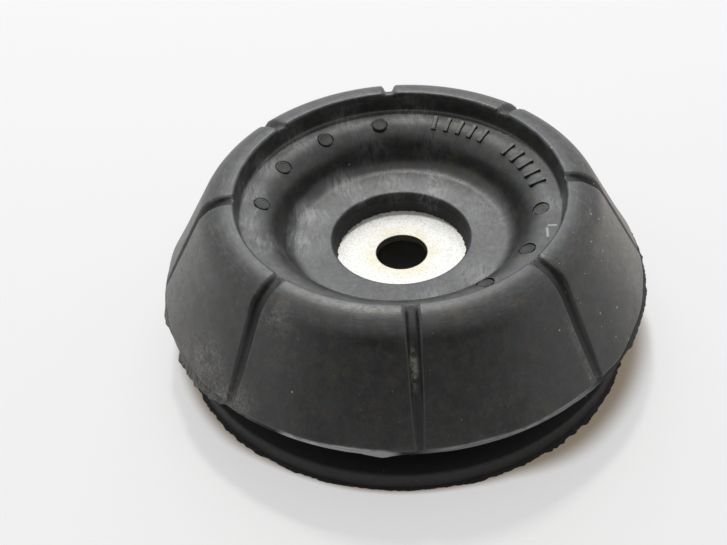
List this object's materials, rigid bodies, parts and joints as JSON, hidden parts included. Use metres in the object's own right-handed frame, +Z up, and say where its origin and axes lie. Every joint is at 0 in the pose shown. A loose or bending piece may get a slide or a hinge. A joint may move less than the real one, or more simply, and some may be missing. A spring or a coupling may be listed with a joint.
{
  "type": "strut mount",
  "caption": "Rubber-to-metal strut top mount: a grooved rubber cone with a dished top, bonded to a pressed steel plate with a rod hole, a bearing channel below and a lower flange.",
  "frame": {"origin": "on the axis, at the underside of the lower flange", "axes": "+Z up along the rod hole's axis, towards the crest; a groove lies at +X and every 45 degrees from it"},
  "size_m": [0.115, 0.115, 0.0417],
  "materials": {
    "rubber": "moulded satin black with dust",
    "zinc_plated_steel": "pale zinc plating with a yellow tint"
  },
  "bodies": {
    "root": {"rubber_body": "rubber", "steel_plate": "zinc_plated_steel"}
  },
  "joints": []
}
